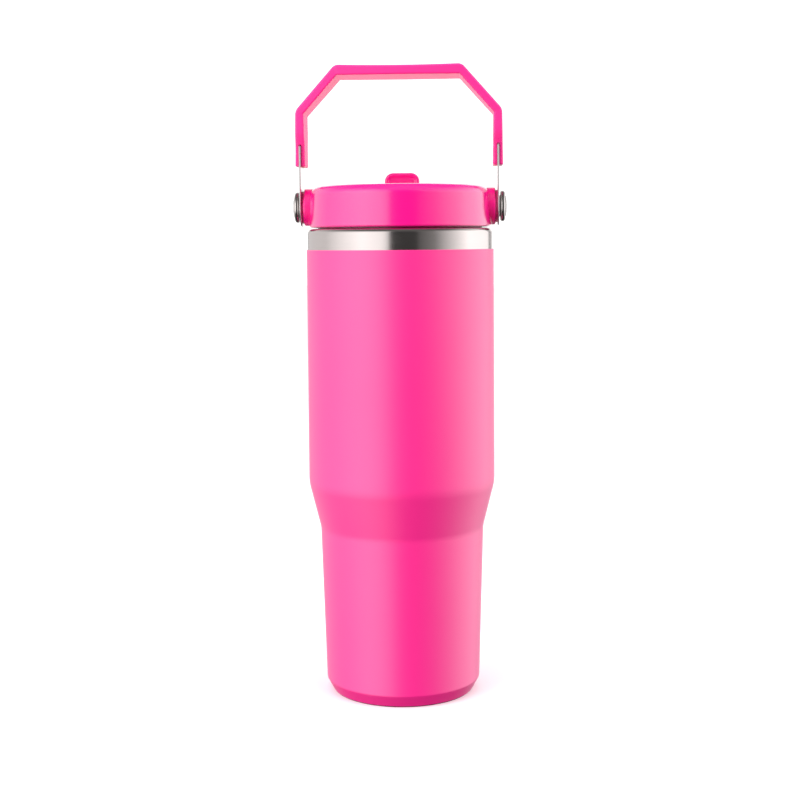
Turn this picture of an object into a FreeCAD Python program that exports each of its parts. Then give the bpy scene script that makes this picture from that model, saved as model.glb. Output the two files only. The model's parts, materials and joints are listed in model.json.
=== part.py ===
"""Insulated flip-straw tumbler: double-walled steel flask, screw-on lid, folding spout, straw and bail handle.

Frame: millimetres, +Z up, origin on the floor at the centre of the foot. The handle pivots on the X axis
direction, the folded spout points to +Y, and the user faces the flask from -Y.
"""
import FreeCAD, Part
import math
import os

from FreeCAD import Vector

# ---------------------------------------------------------------- driving dimensions
# Flask outline, measured on the outside of the powder coat
body_radius = 45.0
foot_radius = 34.0
knee_radius = 37.2
knee_height = 5.9
lower_radius = 39.5
lower_height = 79.6
shoulder_rise = 21.9
rim_height = 223.7
band_height = 10.1
knee_round = 2.0
lower_round = 14.0
upper_round = 21.0
rim_round = 2.5

# Flask walls
coat_thickness = 0.3
coat_floor_gap = 0.5
shell_wall = 0.5
vacuum_gap = 2.6
liner_wall = 0.4
liner_floor_height = 8.0
liner_floor_round = 12.0
foot_ring_width = 3.2

# Flask base
base_recess = 2.0
base_wall = 0.4
dimple_radius = 5.0
dimple_depth = 1.0
pump_hole_radius = 1.0
seal_bead_radius = 2.2
seal_bead_height = 0.8
cover_thickness = 0.4
cover_gap = 0.2
cover_slip = 0.2
getter_radius = 4.0
getter_height = 2.5
getter_offset = 15.0

# Neck and lid thread: two starts, right-handed
thread_starts = 2
thread_lead = 8.0
thread_root_width = 2.2
thread_crest_width = 1.0
thread_embed = 0.2
neck_thread_depth = 1.15
neck_thread_turn = 150.0
plug_thread_depth = 1.3
plug_thread_turn = 170.0
thread_radial_gap = 0.5
thread_bottom_gap = 2.6

# Lid
lid_setback = 1.2
lid_draft = 0.8
lid_gap = 0.5
lid_wall = 2.5
lid_top_wall = 2.5
lid_top_round = 4.6
lid_bottom_round = 1.0
plug_flange = 2.2
plug_slip = 0.2
plug_depth = 18.0
plug_wall = 2.0
plug_floor = 2.0
gasket_height = 4.2
gasket_plug_gap = 0.1
gasket_neck_gap = 0.15
gasket_rim_gap = 0.4

# Folding spout and its well in the lid
barrel_radius = 7.5
barrel_proud = 1.0
barrel_gap = 0.4
barrel_length = 17.4
well_side_gap = 0.5
well_wall = 2.5
well_floor = 3.05
well_round = 1.0
mouthpiece_width = 14.0
mouthpiece_height = 11.0
mouthpiece_round = 3.8
mouthpiece_tip_round = 1.6
mouthpiece_floor_gap = 0.6
finger_gap = 3.5
rim_land = 7.2
channel_radius = 3.0
tab_height = 7.65
tab_thickness = 4.4
tab_setback = 2.0
tab_corner_round = 4.2
tab_edge_round = 0.9
tab_scoop_border = 1.8
tab_scoop_depth = 0.7
spout_pin_radius = 1.6
spout_pin_depth = 3.0
spout_pin_gap = 0.06
seal_puck_radius = 4.8
seal_puck_gap = 0.1

# Straw
straw_radius = 4.0
straw_wall = 0.8
straw_floor_gap = 5.6
straw_end_gap = 0.5
grommet_wall = 1.5
grommet_gap = 0.1
grommet_end_gap = 0.6
socket_wall = 1.6
socket_depth = 14.5
port_radius = 3.0

# Vent valve in the plug floor
vent_offset = 22.0
vent_stem_radius = 1.5
vent_cap_radius = 4.2
vent_cap_height = 0.9
vent_bulb_radius = 2.1
vent_bulb_height = 1.4

# Handle pivots
boss_proud = 2.1
boss_inset = 0.8
boss_edge_round = 0.7
boss_pad_radius = 6.0
boss_pad_depth = 2.4
washer_radius = 7.85
washer_thickness = 0.8
pivot_side_gap = 0.05
pivot_running_gap = 0.06
shank_radius = 3.0
collar_radius = 5.2
collar_length = 0.5
head_radius = 7.45
head_rim = 2.0
head_dome = 1.4
head_edge_round = 0.7
head_groove_radius = 5.3
head_groove_half_width = 0.45
head_groove_depth = 0.4
retainer_radius = 5.4
retainer_thickness = 1.0
retainer_margin = 0.5

# Straps and grip, heights counted from the pivot axis
strap_thickness = 0.8
strap_end_radius = 9.4
strap_top = 29.5
leg_bottom = 19.35
leg_thickness = 4.0
leg_outer_wall = 1.35
leg_flare_out = 0.4
leg_flare_in = 0.3
slot_gap = 0.2
bar_clearance = 17.0
bar_thickness = 4.9
diagonal_thickness = 4.0
bar_saddle = 0.5
knee_drop = 21.2
leg_end_round = 0.6
corner_run = 19.0
knee_corner_round = 5.0
top_corner_round = 4.0
inner_corner_round = 1.0
grip_half_depth = 9.6
grip_centre_half_depth = 12.3
leg_end_half_depth = 7.6
depth_ramp_bottom = 28.0
depth_ramp_top = 35.0
grip_pin_radius = 1.5
grip_pin_spacing = 8.0
grip_pin_height = 24.0

# ---------------------------------------------------------------- places worked out from them
X_AXIS = Vector(1, 0, 0)
Y_AXIS = Vector(0, 1, 0)
Z_AXIS = Vector(0, 0, 1)
BIG = 4 * (rim_height + body_radius)

liner_outer_inset = coat_thickness + shell_wall + vacuum_gap
neck_radius = body_radius - liner_outer_inset - liner_wall
band_bottom = rim_height - band_height
shoulder_top = lower_height + shoulder_rise
base_hole_radius = foot_radius - coat_thickness - foot_ring_width

lid_radius = body_radius - lid_setback
lid_bottom = rim_height + lid_gap
well_bottom = lid_bottom + plug_flange
lid_height = plug_flange + well_floor + barrel_gap + 2 * barrel_radius - barrel_proud
lid_top = lid_bottom + lid_height
lid_top_radius = lid_radius - lid_draft
lid_inner_radius = lid_top_radius - lid_wall

neck_crest_radius = neck_radius - neck_thread_depth
plug_crest_radius = neck_radius - thread_radial_gap
plug_radius = plug_crest_radius - plug_thread_depth
plug_bottom = lid_bottom - plug_depth
start_pitch = thread_lead / thread_starts
plug_thread_start = plug_bottom + thread_bottom_gap
neck_thread_start = plug_thread_start + start_pitch / 2

barrel_z = lid_top + barrel_proud - barrel_radius
well_half_width = barrel_length / 2 + well_side_gap
well_back = lid_radius - rim_land
spout_tip = well_back - finger_gap
well_outer_half_width = well_half_width + well_wall
mouthpiece_bottom = barrel_z - mouthpiece_height / 2
tab_top = lid_top + tab_height

liner_floor = liner_floor_height + liner_wall
straw_bottom = liner_floor + straw_floor_gap
socket_top = plug_bottom + socket_depth
straw_top = socket_top - straw_end_gap
socket_bore_radius = straw_radius + grommet_gap + grommet_wall

pivot_z = lid_bottom + lid_height / 2
boss_radius = lid_height / 2 - boss_inset
boss_end = lid_radius + boss_proud
strap_inner = boss_end + washer_thickness + pivot_side_gap
strap_outer = strap_inner + strap_thickness
head_inner = strap_outer + pivot_side_gap
pad_inner = lid_inner_radius - boss_pad_depth
leg_outer = strap_outer + slot_gap + leg_outer_wall
leg_inner = leg_outer - leg_thickness
bar_bottom = pivot_z + body_radius + bar_clearance
bar_top = bar_bottom + bar_thickness
SIDES = {"left": -1, "right": 1}


# ---------------------------------------------------------------- small geometry tools
def rounded_wire(corners, plane):
    """Closed wire through corners (a, b, radius), each corner rounded by a tangent arc; plane maps (a, b) to 3-D."""
    edges = []
    stops = []
    count = len(corners)
    for i in range(count):
        here = Vector(corners[i][0], corners[i][1], 0)
        before = Vector(corners[i - 1][0], corners[i - 1][1], 0) - here
        after = Vector(corners[(i + 1) % count][0], corners[(i + 1) % count][1], 0) - here
        before.normalize()
        after.normalize()
        radius = corners[i][2]
        half = before.getAngle(after) / 2
        if radius <= 0 or half > math.radians(89.9):
            stops.append((here, None, here))
            continue
        run = radius / math.tan(half)
        bisector = before + after
        bisector.normalize()
        middle = here + bisector * (radius / math.sin(half) - radius)
        stops.append((here + before * run, middle, here + after * run))
    for i, (first, middle, last) in enumerate(stops):
        if middle is not None:
            edges.append(Part.Arc(plane(first), plane(middle), plane(last)).toShape())
        following = stops[(i + 1) % count][0]
        if last.distanceToPoint(following) > 1e-6:
            edges.append(Part.LineSegment(plane(last), plane(following)).toShape())
    return Part.Wire(edges)


def revolved(corners):
    """Solid of revolution about Z from (radius, height, rounding) corners."""
    wire = rounded_wire(corners, lambda p: Vector(p.x, 0, p.y))
    return Part.Face(wire).revolve(Vector(0, 0, 0), Z_AXIS, 360)


def revolved_about_x(corners, centre_z):
    """Solid of revolution about the X direction at centre_z, from (x, radius, rounding) corners."""
    wire = rounded_wire(corners, lambda p: Vector(p.x, 0, centre_z + p.y))
    return Part.Face(wire).revolve(Vector(0, 0, centre_z), X_AXIS, 360)


def tube(outer, inner, bottom, top):
    """Plain ring or tube about Z."""
    return revolved([(inner, bottom, 0), (outer, bottom, 0), (outer, top, 0), (inner, top, 0)])


def disc(radius, bottom, top, x=0.0, y=0.0):
    return Part.makeCylinder(radius, top - bottom, Vector(x, y, bottom), Z_AXIS)


def rod_x(radius, start, end, y=0.0, z=0.0):
    """Cylinder along X from start to end."""
    low = min(start, end)
    return Part.makeCylinder(radius, abs(end - start), Vector(low, y, z), X_AXIS)


def block(x, y, z):
    """Box from (low, high) pairs along X, Y and Z."""
    size = (x[1] - x[0], y[1] - y[0], z[1] - z[0])
    return Part.makeBox(*size, Vector(x[0], y[0], z[0]))


def edges_along(shape, direction, keep=lambda edge: True):
    """Straight edges of shape that run along direction and pass keep."""
    found = []
    for edge in shape.Edges:
        if isinstance(edge.Curve, (Part.Line, Part.LineSegment)):
            along = edge.tangentAt(edge.FirstParameter)
            if abs(abs(along.dot(direction)) - 1) < 1e-6 and keep(edge):
                found.append(edge)
    return found


def offset_corners(points, insets):
    """Closed polygon with edge i (from point i to i + 1) moved left of its direction by insets[i]."""
    lines = []
    count = len(points)
    for i, inset in enumerate(insets):
        ax, ay = points[i]
        bx, by = points[(i + 1) % count]
        length = math.hypot(bx - ax, by - ay)
        nx, ny = -(by - ay) / length, (bx - ax) / length
        lines.append((nx, ny, nx * ax + ny * ay + inset))
    moved = []
    for i in range(count):
        a1, b1, c1 = lines[i - 1]
        a2, b2, c2 = lines[i]
        det = a1 * b2 - a2 * b1
        moved.append(((c1 * b2 - c2 * b1) / det, (a1 * c2 - a2 * c1) / det))
    return moved


def flask_solid(inset, floor, top, floor_round=knee_round, top_round=0.0):
    """Filled flask outline, moved in from the coat's outside by inset, with its floor and top at set heights."""
    outline = [(0, 0), (foot_radius, 0), (knee_radius, knee_height), (lower_radius, lower_height),
               (body_radius, shoulder_top), (body_radius, rim_height), (0, rim_height)]
    insets = [floor, inset, inset, inset, inset, rim_height - top, 0]
    foot, knee, lower, upper, shoulder, rim = offset_corners(outline, insets)[1:]
    shape = [(0, foot[1], 0)]
    if floor > knee_height:
        wall_radius = knee[0] + (lower[0] - knee[0]) * (floor - knee[1]) / (lower[1] - knee[1])
        shape += [(wall_radius, floor, floor_round)]
    else:
        shape += [(*foot, 0), (*knee, floor_round)]
    shape += [(*lower, lower_round + inset), (*upper, upper_round - inset)]
    shape += [(*shoulder, top_round), (0, rim[1], 0)]
    return revolved(shape)


def helical_ridges(root_radius, crest_radius, start_z, turn):
    """Trapezoid thread ridges about Z, one per start, each turning through turn degrees."""
    deep = thread_embed if crest_radius < root_radius else -thread_embed
    profile = [(root_radius + deep, -thread_root_width / 2), (crest_radius, -thread_crest_width / 2),
               (crest_radius, thread_crest_width / 2), (root_radius + deep, thread_root_width / 2)]
    points = [Vector(r, 0, start_z + z) for r, z in profile]
    ridges = []
    for start in range(thread_starts):
        helix = Part.makeHelix(thread_lead, thread_lead * turn / 360, root_radius)
        helix.translate(Vector(0, 0, start_z))
        pipe = Part.BRepOffsetAPI.MakePipeShell(helix)
        pipe.setFrenetMode(True)
        pipe.add(Part.Wire(Part.makePolygon(points + points[:1]).Edges))
        pipe.build()
        pipe.makeSolid()
        ridge = pipe.shape()
        ridge.rotate(Vector(0, 0, 0), Z_AXIS, 360 * start / thread_starts)
        ridges.append(ridge)
    return ridges


# ---------------------------------------------------------------- flask
def outer_shell():
    """Drawn steel outer wall: foot ring, bevel, cup-holder taper, shoulder, bare band and rolled rim."""
    outside = flask_solid(coat_thickness, 0, rim_height, top_round=rim_round)
    inner_inset = coat_thickness + shell_wall
    inside = flask_solid(inner_inset, shell_wall, rim_height - shell_wall, top_round=rim_round - shell_wall)
    mouth = disc(neck_radius + liner_wall, rim_height - 2 * rim_round, rim_height + 1)
    foot_hole = disc(base_hole_radius, -1, 2 * shell_wall)
    return outside.cut(inside).cut(mouth).cut(foot_hole)


def powder_coat():
    """Coloured coat over the shell, from just above the foot up to the bare band."""
    outside = flask_solid(0, 0, band_bottom)
    inside = flask_solid(coat_thickness, 0, band_bottom)
    floor_cut = disc(body_radius, -1, coat_floor_gap)
    return outside.cut(inside).cut(floor_cut)


def inner_liner():
    """Drawn steel inner cup with the rolled neck thread; its lip is welded to the shell at the rim."""
    outside = flask_solid(liner_outer_inset, liner_floor_height, rim_height, floor_round=liner_floor_round)
    inner_inset = liner_outer_inset + liner_wall
    inner_round = liner_floor_round - liner_wall
    inside = flask_solid(inner_inset, liner_floor, rim_height + 1, floor_round=inner_round)
    cup = outside.cut(inside)
    return cup.fuse(helical_ridges(neck_radius, neck_crest_radius, neck_thread_start, neck_thread_turn))


def base_plate():
    """Pressed bottom plate, welded inside the foot ring, with the dimple that holds the pump-out hole."""
    top = base_recess + base_wall
    plate = disc(base_hole_radius, 0, top).cut(disc(base_hole_radius - base_wall, -1, base_recess))
    dimple = disc(dimple_radius + base_wall, base_recess, top + dimple_depth)
    hollow = disc(dimple_radius, base_recess - 1, base_recess + dimple_depth)
    pump_hole = disc(pump_hole_radius, 0, top + dimple_depth + 1)
    return plate.fuse(dimple).cut(hollow).cut(pump_hole)


def seal_bead():
    """Glass solder that closes the pump-out hole."""
    ceiling = base_recess + dimple_depth
    bead = disc(seal_bead_radius, ceiling - seal_bead_height, ceiling)
    return bead.fuse(disc(pump_hole_radius, ceiling, ceiling + base_wall))


def base_cover():
    """Thin plate that hides the dimple, set back from the foot."""
    top = base_recess - cover_gap
    return disc(base_hole_radius - base_wall - cover_slip, top - cover_thickness, top)


def getter():
    """Gas-absorbing pill on the base plate, inside the vacuum space."""
    bottom = base_recess + base_wall
    return disc(getter_radius, bottom, bottom + getter_height, x=getter_offset)


# ---------------------------------------------------------------- lid
def lid_shell():
    """Moulded lid: rounded drum with the spout well in its top and a pivot boss on each side."""
    drum = revolved([(0, lid_bottom, 0), (lid_radius, lid_bottom, lid_bottom_round),
                     (lid_top_radius, lid_top, lid_top_round), (0, lid_top, 0)])
    for sign in SIDES.values():
        boss = revolved_about_x([(0, 0, 0), (0, boss_radius, 0), (boss_end, boss_radius, boss_edge_round),
                                 (boss_end, 0, 0)], pivot_z)
        if sign < 0:
            boss = boss.mirror(Vector(0, 0, 0), X_AXIS)
        drum = drum.fuse(boss)
    cavity = disc(lid_inner_radius, lid_bottom, lid_top - lid_top_wall)
    shell = drum.cut(cavity)
    well_box = block((-well_outer_half_width, well_outer_half_width),
                     (-barrel_radius - barrel_gap - well_wall, lid_radius),
                     (well_bottom, lid_top - lid_top_wall / 2))
    well_box = well_box.common(disc(lid_inner_radius, lid_bottom, lid_top))
    shell = shell.fuse(well_box)
    for sign in SIDES.values():
        shell = shell.fuse(rod_x(boss_pad_radius, sign * pad_inner, sign * lid_radius, z=pivot_z))
    shell = shell.cut(spout_well())
    shell = shell.cut(disc(seal_puck_radius, well_bottom - 1, barrel_z))
    for sign in SIDES.values():
        shell = shell.cut(rod_x(shank_radius, 0.8 * sign * pad_inner, sign * (boss_end + 1), z=pivot_z))
        shell = shell.cut(rod_x(spout_pin_radius, 0, sign * well_outer_half_width, z=barrel_z))
    return shell.removeSplitter()


def spout_well():
    """Space cut in the lid for the barrel and the folded mouthpiece, with rounded plan corners."""
    pocket = rod_x(barrel_radius + barrel_gap, -well_half_width, well_half_width, z=barrel_z)
    front = -barrel_radius - barrel_gap
    over_barrel = block((-well_half_width, well_half_width), (front, -front), (barrel_z, lid_top + 1))
    trough = block((-well_half_width, well_half_width), (0, well_back),
                   (mouthpiece_bottom - mouthpiece_floor_gap, lid_top + 1))
    corners = edges_along(trough, Z_AXIS, lambda edge: edge.CenterOfMass.y > 1)
    return trough.makeFillet(well_round * 3, corners).fuse(over_barrel).fuse(pocket)


def lid_plug():
    """Threaded insert under the lid: flange, hollow neck, floor, straw socket and male thread."""
    flange = tube(lid_inner_radius - plug_slip, plug_radius - plug_wall, lid_bottom, well_bottom)
    neck = tube(plug_radius, plug_radius - plug_wall, plug_bottom, well_bottom)
    floor = disc(plug_radius - plug_wall / 2, plug_bottom, plug_bottom + plug_floor)
    socket = disc(socket_bore_radius + socket_wall, plug_bottom, well_bottom)
    plug = neck.fuse([flange, floor, socket])
    plug = plug.cut(disc(socket_bore_radius, plug_bottom - 1, socket_top))
    plug = plug.cut(disc(port_radius, plug_bottom, well_bottom + 1))
    plug = plug.cut(disc(vent_stem_radius, plug_bottom - 1, plug_bottom + plug_floor + 1, y=-vent_offset))
    return plug.fuse(helical_ridges(plug_radius, plug_crest_radius, plug_thread_start, plug_thread_turn))


def lid_gasket():
    """Silicone ring round the plug, just inside the rim, that seals against the neck."""
    outer = neck_radius - gasket_neck_gap
    inner = plug_radius + gasket_plug_gap
    top = rim_height - gasket_rim_gap
    middle = top - gasket_height / 2
    waist = (outer - inner) / 3
    return revolved([(inner, top - gasket_height, 0), (outer, top - gasket_height, 0.3),
                     (outer, middle - waist, 0.2), (outer - waist, middle, 0.2), (outer, middle + waist, 0.2),
                     (outer, top, 0.3), (inner, top, 0)])


def straw_grommet():
    """Silicone sleeve in the socket that grips the straw."""
    inner = straw_radius + grommet_gap
    return tube(socket_bore_radius, inner, plug_bottom + grommet_end_gap, straw_top - grommet_end_gap)


def spout_seal():
    """Silicone puck under the barrel, hollowed to the barrel's curve, that joins the port to the spout."""
    puck = tube(seal_puck_radius, port_radius, well_bottom, barrel_z)
    return puck.cut(rod_x(barrel_radius + seal_puck_gap, -BIG, BIG, z=barrel_z))


def vent_valve():
    """Silicone umbrella valve that lets air in through the plug floor."""
    floor_top = plug_bottom + plug_floor
    cap = disc(vent_cap_radius, plug_bottom - vent_cap_height, plug_bottom, y=-vent_offset)
    stem = disc(vent_stem_radius, plug_bottom, floor_top, y=-vent_offset)
    bulb = disc(vent_bulb_radius, floor_top, floor_top + vent_bulb_height, y=-vent_offset)
    return cap.fuse([stem, bulb])


def spout_pins():
    """Two stub pins, pressed in the well's cheeks, that the barrel turns on."""
    inner = barrel_length / 2 - spout_pin_depth
    pins = [rod_x(spout_pin_radius, sign * inner, sign * well_outer_half_width, z=barrel_z)
            for sign in SIDES.values()]
    return Part.Compound(pins)


def spout():
    """Folding mouthpiece: cross barrel, rounded tube and the finger tab near its tip."""
    barrel = rod_x(barrel_radius, -barrel_length / 2, barrel_length / 2, z=barrel_z)
    barrel = barrel.makeFillet(tab_edge_round, [e for e in barrel.Edges if isinstance(e.Curve, Part.Circle)])
    half_width = mouthpiece_width / 2
    body = block((-half_width, half_width), (0, spout_tip),
                 (mouthpiece_bottom, mouthpiece_bottom + mouthpiece_height))
    body = body.makeFillet(mouthpiece_round, edges_along(body, Y_AXIS))
    tip_edges = [e for e in body.Edges if e.BoundBox.YMin > spout_tip - 1e-3]
    body = body.makeFillet(mouthpiece_tip_round, tip_edges)
    shape = barrel.fuse([body, finger_tab()])
    shape = shape.cut(Part.makeCylinder(channel_radius, BIG, Vector(0, -BIG / 2, barrel_z), Y_AXIS))
    for sign in SIDES.values():
        shape = shape.cut(rod_x(spout_pin_radius + spout_pin_gap,
                                sign * (barrel_length / 2 - spout_pin_depth - spout_pin_gap),
                                sign * barrel_length, z=barrel_z))
    return shape.removeSplitter()


def finger_tab():
    """Upright tab with rounded corners and a shallow scoop on its front face."""
    half = barrel_length / 2
    bottom = mouthpiece_bottom + mouthpiece_height / 2 + channel_radius + 0.5
    back = spout_tip - tab_setback
    front = back - tab_thickness
    outline = [(-half, bottom, 1.0), (half, bottom, 1.0), (half, tab_top, tab_corner_round),
               (-half, tab_top, tab_corner_round)]
    face = Part.Face(rounded_wire(outline, lambda p: Vector(p.x, front, p.y)))
    tab = face.extrude(Vector(0, tab_thickness, 0))
    rims = [e for e in tab.Edges if e.BoundBox.YLength < 1e-3]
    tab = tab.makeFillet(tab_edge_round, rims)
    inner = half - tab_scoop_border
    scoop_bottom = mouthpiece_bottom + mouthpiece_height + 0.4
    scoop_outline = [(-inner, scoop_bottom, 1.0), (inner, scoop_bottom, 1.0),
                     (inner, tab_top - tab_scoop_border, tab_corner_round - tab_scoop_border / 2),
                     (-inner, tab_top - tab_scoop_border, tab_corner_round - tab_scoop_border / 2)]
    scoop = Part.Face(rounded_wire(scoop_outline, lambda p: Vector(p.x, front - 1, p.y)))
    return tab.cut(scoop.extrude(Vector(0, 1 + tab_scoop_depth, 0)))


def straw():
    """Plain drinking tube from the socket down to near the liner's floor."""
    return tube(straw_radius, straw_radius - straw_wall, straw_bottom, straw_top)


# ---------------------------------------------------------------- handle pivots
def pivot_rivet(sign):
    """Button rivet: domed head on a short collar, shank through strap, washer and boss, end inside the lid."""
    under = head_inner + collar_length
    rim = under + head_rim
    end = pad_inner - retainer_thickness - retainer_margin
    head = revolved_about_x([(head_inner, 0, 0), (head_inner, collar_radius, 0), (under, collar_radius, 0),
                             (under, head_radius, head_edge_round), (rim, head_radius, head_edge_round),
                             (rim, 0, 0)], pivot_z)
    dome_radius = (head_radius ** 2 + head_dome ** 2) / (2 * head_dome)
    dome = Part.makeSphere(dome_radius, Vector(rim + head_dome - dome_radius, 0, pivot_z))
    dome = dome.common(rod_x(head_radius - head_edge_round, under, rim + 2 * head_dome, z=pivot_z))
    groove_bottom = rim + head_dome - head_groove_radius ** 2 / (2 * dome_radius) - head_groove_depth
    groove = rod_x(head_groove_radius + head_groove_half_width, groove_bottom, 2 * rim, z=pivot_z)
    groove = groove.cut(rod_x(head_groove_radius - head_groove_half_width, groove_bottom, 2 * rim, z=pivot_z))
    shank = rod_x(shank_radius, end, head_inner, z=pivot_z)
    rivet = head.fuse(dome).cut(groove).fuse(shank)
    return rivet if sign > 0 else rivet.mirror(Vector(0, 0, 0), X_AXIS)


def pivot_washer(sign):
    """Plastic friction washer between boss and strap."""
    ring = rod_x(washer_radius, sign * boss_end, sign * (boss_end + washer_thickness), z=pivot_z)
    return ring.cut(rod_x(shank_radius, 0, sign * BIG, z=pivot_z))


def pivot_retainer(sign):
    """Push-on retaining ring on the rivet's inner end, against the boss pad."""
    ring = rod_x(retainer_radius, sign * (pad_inner - retainer_thickness), sign * pad_inner, z=pivot_z)
    return ring.cut(rod_x(shank_radius, 0, sign * BIG, z=pivot_z))


# ---------------------------------------------------------------- handle
def strap(sign):
    """Flat steel strap: round eye on the pivot, straight up into the grip's leg."""
    top = pivot_z + strap_top
    outline = [(-strap_end_radius, pivot_z, 0), (strap_end_radius, pivot_z, 0), (strap_end_radius, top, 1.0),
               (-strap_end_radius, top, 1.0)]
    x = strap_inner if sign > 0 else -strap_outer
    plate = Part.Face(rounded_wire(outline, lambda p: Vector(x, p.x, p.y))).extrude(Vector(strap_thickness, 0, 0))
    plate = plate.fuse(rod_x(strap_end_radius, x, x + strap_thickness, z=pivot_z)).removeSplitter()
    plate = plate.cut(rod_x(shank_radius + pivot_running_gap, 0, sign * BIG, z=pivot_z))
    return plate.cut(grip_pin_rods(sign))


def grip_pin_rods(sign):
    """Cylinders of the two pins that hold one strap in its leg."""
    rods = [rod_x(grip_pin_radius, sign * leg_inner, sign * leg_outer, y=y, z=pivot_z + grip_pin_height)
            for y in (-grip_pin_spacing / 2, grip_pin_spacing / 2)]
    return Part.Compound(rods)


def grip_pins():
    """All four pins, flush with the legs."""
    return Part.Compound([rod for sign in SIDES.values() for rod in grip_pin_rods(sign).Solids])


def handle_grip():
    """Moulded arch: straight legs, sloping corners and a top bar that is deepest at its centre."""
    bottom = pivot_z + leg_bottom
    knee = bar_top - knee_drop
    half_top = leg_outer - corner_run
    outline = [(leg_outer, bottom), (leg_outer, knee), (half_top, bar_top), (-half_top, bar_top),
               (-leg_outer, knee), (-leg_outer, bottom)]
    walls = [leg_thickness, diagonal_thickness, bar_thickness, diagonal_thickness, leg_thickness, 0]
    outer_rounds = [leg_end_round, knee_corner_round, top_corner_round]
    inner_rounds = [leg_end_round, inner_corner_round, inner_corner_round]
    outer_points = flared_ends(outline, leg_flare_out)
    inner_points = flared_ends(offset_corners(outline, walls), -leg_flare_in)
    outer = [(*p, r) for p, r in zip(outer_points, outer_rounds + outer_rounds[::-1])]
    inner = [(*p, r) for p, r in zip(inner_points, inner_rounds + inner_rounds[::-1])]
    deep = grip_centre_half_depth
    face = Part.Face(rounded_wire(outer + inner[::-1], lambda p: Vector(p.x, -deep, p.y)))
    arch = face.extrude(Vector(0, 2 * deep, 0))
    arch = arch.common(grip_plan(bottom)).common(grip_side(bottom)).cut(saddle(half_top))
    slot_top = pivot_z + strap_top + slot_gap
    for sign in SIDES.values():
        low, high = sorted((sign * (strap_inner - slot_gap), sign * (strap_outer + slot_gap)))
        arch = arch.cut(block((low, high), (-BIG, BIG), (bottom - 1, slot_top)))
        arch = arch.cut(grip_pin_rods(sign))
    return arch


def flared_ends(points, flare):
    """Arch outline with its first and last point, the leg ends, moved outwards by flare."""
    first, last = points[0], points[-1]
    return [(first[0] + flare, first[1])] + points[1:-1] + [(last[0] - flare, last[1])]


def grip_plan(bottom):
    """Plan outline of the grip, bowed out to its full depth over the bar's centre."""
    reach = leg_outer + 1
    corners = [Vector(-reach, -grip_half_depth, bottom - 1), Vector(reach, -grip_half_depth, bottom - 1),
               Vector(reach, grip_half_depth, bottom - 1), Vector(-reach, grip_half_depth, bottom - 1)]
    front = Part.Arc(corners[0], Vector(0, -grip_centre_half_depth, bottom - 1), corners[1]).toShape()
    back = Part.Arc(corners[2], Vector(0, grip_centre_half_depth, bottom - 1), corners[3]).toShape()
    right = Part.LineSegment(corners[1], corners[2]).toShape()
    left = Part.LineSegment(corners[3], corners[0]).toShape()
    return Part.Face(Part.Wire([front, right, back, left])).extrude(Vector(0, 0, BIG))


def grip_side(bottom):
    """Side outline of the grip, narrower at the leg ends so that the strap's edges stand proud."""
    low = pivot_z + depth_ramp_bottom
    high = pivot_z + depth_ramp_top
    deep = grip_centre_half_depth + 1
    full = grip_half_depth + (grip_centre_half_depth - grip_half_depth) / 4
    half = [(leg_end_half_depth, bottom - 1, 0), (leg_end_half_depth, low, 3.0), (full, high, 6.0),
            (deep, high + 4 * (deep - full), 0), (deep, bar_top + 1, 0)]
    mirrored = [(-y, z, r) for y, z, r in reversed(half)]
    face = Part.Face(rounded_wire(half + mirrored, lambda p: Vector(-BIG / 2, p.x, p.y)))
    return face.extrude(Vector(BIG, 0, 0))


def saddle(half_top):
    """Shallow cylinder cut that hollows the bar's top by bar_saddle at its centre."""
    half = half_top - top_corner_round / 2
    radius = (half ** 2 + bar_saddle ** 2) / (2 * bar_saddle)
    centre = Vector(0, -BIG / 2, bar_top - bar_saddle + radius)
    return Part.makeCylinder(radius, BIG, centre, Y_AXIS)


# ---------------------------------------------------------------- export
def sub_parts():
    """Every node's name with its shape."""
    shapes = {
        "outer_shell": outer_shell(),
        "powder_coat": powder_coat(),
        "inner_liner": inner_liner(),
        "base_plate": base_plate(),
        "base_cover": base_cover(),
        "seal_bead": seal_bead(),
        "getter": getter(),
        "lid_shell": lid_shell(),
        "lid_plug": lid_plug(),
        "lid_gasket": lid_gasket(),
        "straw_grommet": straw_grommet(),
        "spout_seal": spout_seal(),
        "spout_pins": spout_pins(),
        "vent_valve": vent_valve(),
        "spout": spout(),
        "straw": straw(),
        "handle_grip": handle_grip(),
        "grip_pins": grip_pins(),
    }
    for side, sign in SIDES.items():
        shapes["pivot_rivet_" + side] = pivot_rivet(sign)
        shapes["pivot_washer_" + side] = pivot_washer(sign)
        shapes["pivot_retainer_" + side] = pivot_retainer(sign)
        shapes["strap_" + side] = strap(sign)
    return shapes


def main():
    os.makedirs("parts", exist_ok=True)
    for name, shape in sub_parts().items():
        solids = shape.Solids
        if not solids or not all(solid.isValid() and solid.Volume > 0 for solid in solids):
            raise ValueError(name + " isn't a set of valid solids")
        whole = solids[0] if len(solids) == 1 else Part.Compound(solids)
        whole.exportStep("parts/" + name + ".step")
        print(f"{name:22s} solids {len(solids)}  volume {whole.Volume / 1000:8.3f} cm3")


main()
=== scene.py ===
import json
import math

import bmesh
import bpy
from mathutils import Matrix, Vector


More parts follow.
